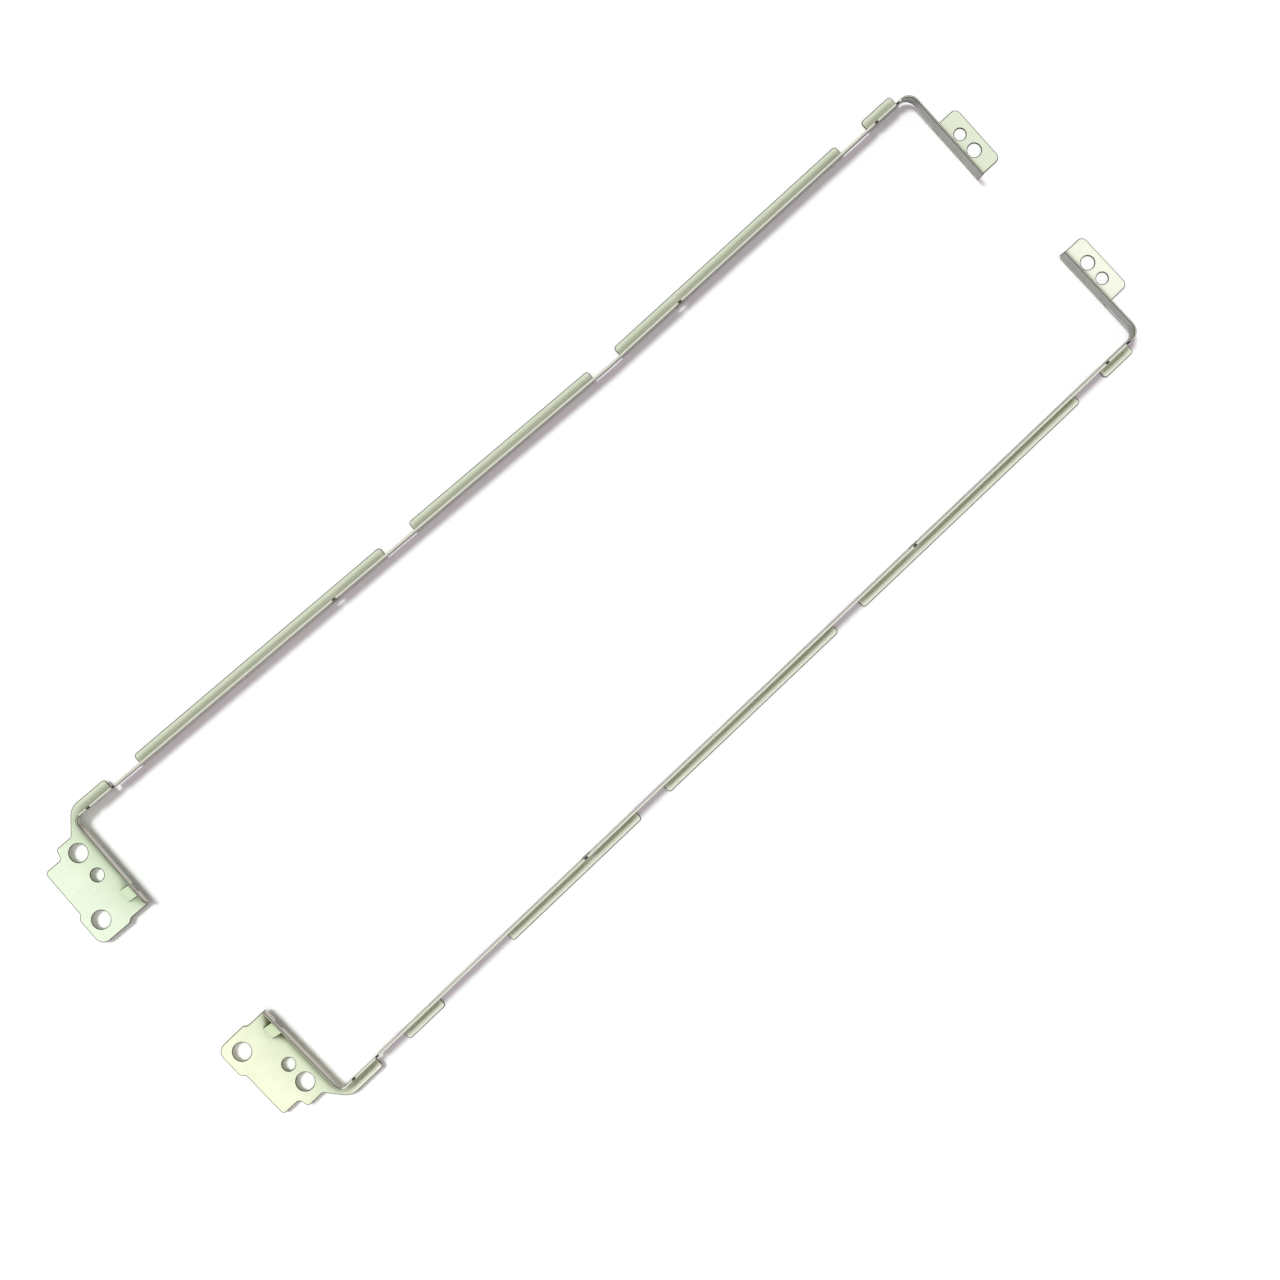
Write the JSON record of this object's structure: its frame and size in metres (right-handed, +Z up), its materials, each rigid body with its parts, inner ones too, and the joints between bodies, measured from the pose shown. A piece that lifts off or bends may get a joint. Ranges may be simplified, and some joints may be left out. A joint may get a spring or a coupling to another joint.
{
  "type": "laptop lcd bracket pair",
  "caption": "Left and right laptop screen brackets: folded zinc-plated steel rails with outward flanges, a pierced hinge plate at the lower arm and a screw plate at the upper arm.",
  "frame": {"origin": "middle of the pair's footprint, on the surface that the brackets lie on", "axes": "+X along the right bracket's rail from its hinge end to its upper end, +Y from the right bracket to the left one, +Z up"},
  "size_m": [0.2302, 0.077, 0.006],
  "materials": {
    "zinc_steel": "satin zinc plating"
  },
  "bodies": {
    "root": {"left_bracket": "zinc_steel", "right_bracket": "zinc_steel"}
  },
  "joints": []
}
